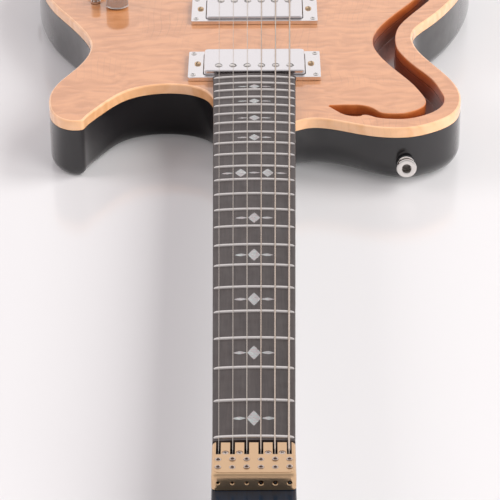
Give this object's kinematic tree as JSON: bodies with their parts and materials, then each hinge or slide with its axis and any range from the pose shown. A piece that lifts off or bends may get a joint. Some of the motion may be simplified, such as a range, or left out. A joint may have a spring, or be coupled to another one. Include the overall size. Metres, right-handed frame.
{
  "type": "headless electric guitar",
  "caption": "Solid-body headless electric guitar with a figured maple cap, carved S-shaped sound channel, humbucking pickups and a brass bridge with tail tuners.",
  "frame": {"origin": "on the flat back of the body, on the centre line, under the line where the strings leave the saddles", "axes": "+Y from the head to the tail, +X towards the bass side, +Z out of the playing face; the guitar lies on its back"},
  "size_m": [0.3371, 0.8727, 0.0593],
  "materials": {
    "figured_maple": "quilted maple under clear gloss lacquer",
    "black_gloss": "wood under black gloss lacquer",
    "ebony": "oiled ebony, satin",
    "brass": "satin brass",
    "steel": "polished nickel steel",
    "chrome": "bright chrome",
    "dark_laminate": "dark veneer under clear gloss",
    "coil_black": "black wound coils",
    "cover_plastic": "satin black"
  },
  "bodies": {
    "guitar": {"body_cap": "figured_maple", "body_core": "black_gloss", "bridge_base": "brass", "bridge_pickup_coils": "coil_black", "bridge_pickup_cover": "chrome", "bridge_pickup_ring": "chrome", "fretboard": "ebony", "head_plate": "dark_laminate", "headpiece": "brass", "neck": "black_gloss", "neck_pickup_coils": "coil_black", "neck_pickup_cover": "chrome", "neck_pickup_ring": "chrome", "output_jack": "steel", "rear_cover": "cover_plastic", "saddle_1": "brass", "saddle_2": "brass", "saddle_3": "brass", "saddle_4": "brass", "saddle_5": "brass", "saddle_6": "brass", "strap_button_horn": "chrome", "strap_button_tail": "chrome", "string_1": "steel", "string_2": "steel", "string_3": "steel", "string_4": "steel", "string_5": "steel", "string_6": "steel", "switch_body": "steel", "tone_pot": "steel", "truss_rod": "steel", "volume_pot": "steel"},
    "volume": {"volume_knob": "steel", "volume_shaft": "steel"},
    "tone": {"tone_knob": "steel", "tone_shaft": "steel"},
    "switch": {"switch_lever": "steel"},
    "truss_nut": {"truss_rod_nut": "steel"},
    "tuner_1": {"tuner_knob_1": "brass"},
    "string_carriage_1": {"carriage_1": "brass"},
    "tuner_2": {"tuner_knob_2": "brass"},
    "string_carriage_2": {"carriage_2": "brass"},
    "tuner_3": {"tuner_knob_3": "brass"},
    "string_carriage_3": {"carriage_3": "brass"},
    "tuner_4": {"tuner_knob_4": "brass"},
    "string_carriage_4": {"carriage_4": "brass"},
    "tuner_5": {"tuner_knob_5": "brass"},
    "string_carriage_5": {"carriage_5": "brass"},
    "tuner_6": {"tuner_knob_6": "brass"},
    "string_carriage_6": {"carriage_6": "brass"}
  },
  "joints": [
    {"name": "volume_turn", "type": "hinge", "parent": "guitar", "child": "volume", "pos_m": [-0.1016, -0.0367, 0.042], "axis": [0, 0, 1], "range_deg": [0, 300]},
    {"name": "tone_turn", "type": "hinge", "parent": "guitar", "child": "tone", "pos_m": [-0.1195, 0.016, 0.042], "axis": [0, 0, 1], "range_deg": [0, 300]},
    {"name": "switch_throw", "type": "hinge", "parent": "guitar", "child": "switch", "pos_m": [-0.118, -0.0287, 0.042], "axis": [1, 0, 0], "range_deg": [-12, 12]},
    {"name": "truss_nut_turn", "type": "hinge", "parent": "guitar", "child": "truss_nut", "pos_m": [0, -0.65, 0.0359], "axis": [0, 1, 0], "range_deg": [0, 360]},
    {"name": "tuner_turn_1", "type": "hinge", "parent": "guitar", "child": "tuner_1", "pos_m": [-0.0265, 0.059, 0.05], "axis": [0, 1, 0], "range_deg": [0, 2880]},
    {"name": "carriage_slide_1", "type": "slide", "parent": "guitar", "child": "string_carriage_1", "axis": [0, -1, 0], "range_m": [0, 0.008]},
    {"name": "tuner_turn_2", "type": "hinge", "parent": "guitar", "child": "tuner_2", "pos_m": [-0.0159, 0.059, 0.05], "axis": [0, 1, 0], "range_deg": [0, 2880]},
    {"name": "carriage_slide_2", "type": "slide", "parent": "guitar", "child": "string_carriage_2", "axis": [0, -1, 0], "range_m": [0, 0.008]},
    {"name": "tuner_turn_3", "type": "hinge", "parent": "guitar", "child": "tuner_3", "pos_m": [-0.0053, 0.059, 0.05], "axis": [0, 1, 0], "range_deg": [0, 2880]},
    {"name": "carriage_slide_3", "type": "slide", "parent": "guitar", "child": "string_carriage_3", "axis": [0, -1, 0], "range_m": [0, 0.008]},
    {"name": "tuner_turn_4", "type": "hinge", "parent": "guitar", "child": "tuner_4", "pos_m": [0.0053, 0.059, 0.05], "axis": [0, 1, 0], "range_deg": [0, 2880]},
    {"name": "carriage_slide_4", "type": "slide", "parent": "guitar", "child": "string_carriage_4", "axis": [0, -1, 0], "range_m": [0, 0.008]},
    {"name": "tuner_turn_5", "type": "hinge", "parent": "guitar", "child": "tuner_5", "pos_m": [0.0159, 0.059, 0.05], "axis": [0, 1, 0], "range_deg": [0, 2880]},
    {"name": "carriage_slide_5", "type": "slide", "parent": "guitar", "child": "string_carriage_5", "axis": [0, -1, 0], "range_m": [0, 0.008]},
    {"name": "tuner_turn_6", "type": "hinge", "parent": "guitar", "child": "tuner_6", "pos_m": [0.0265, 0.059, 0.05], "axis": [0, 1, 0], "range_deg": [0, 2880]},
    {"name": "carriage_slide_6", "type": "slide", "parent": "guitar", "child": "string_carriage_6", "axis": [0, -1, 0], "range_m": [0, 0.008]}
  ],
  "couplings": [
    {"joint": "tuner_turn_1", "follows": "carriage_slide_1", "rad_per_m": 6283.2},
    {"joint": "tuner_turn_2", "follows": "carriage_slide_2", "rad_per_m": 6283.2},
    {"joint": "tuner_turn_3", "follows": "carriage_slide_3", "rad_per_m": 6283.2},
    {"joint": "tuner_turn_4", "follows": "carriage_slide_4", "rad_per_m": 6283.2},
    {"joint": "tuner_turn_5", "follows": "carriage_slide_5", "rad_per_m": 6283.2},
    {"joint": "tuner_turn_6", "follows": "carriage_slide_6", "rad_per_m": 6283.2}
  ]
}
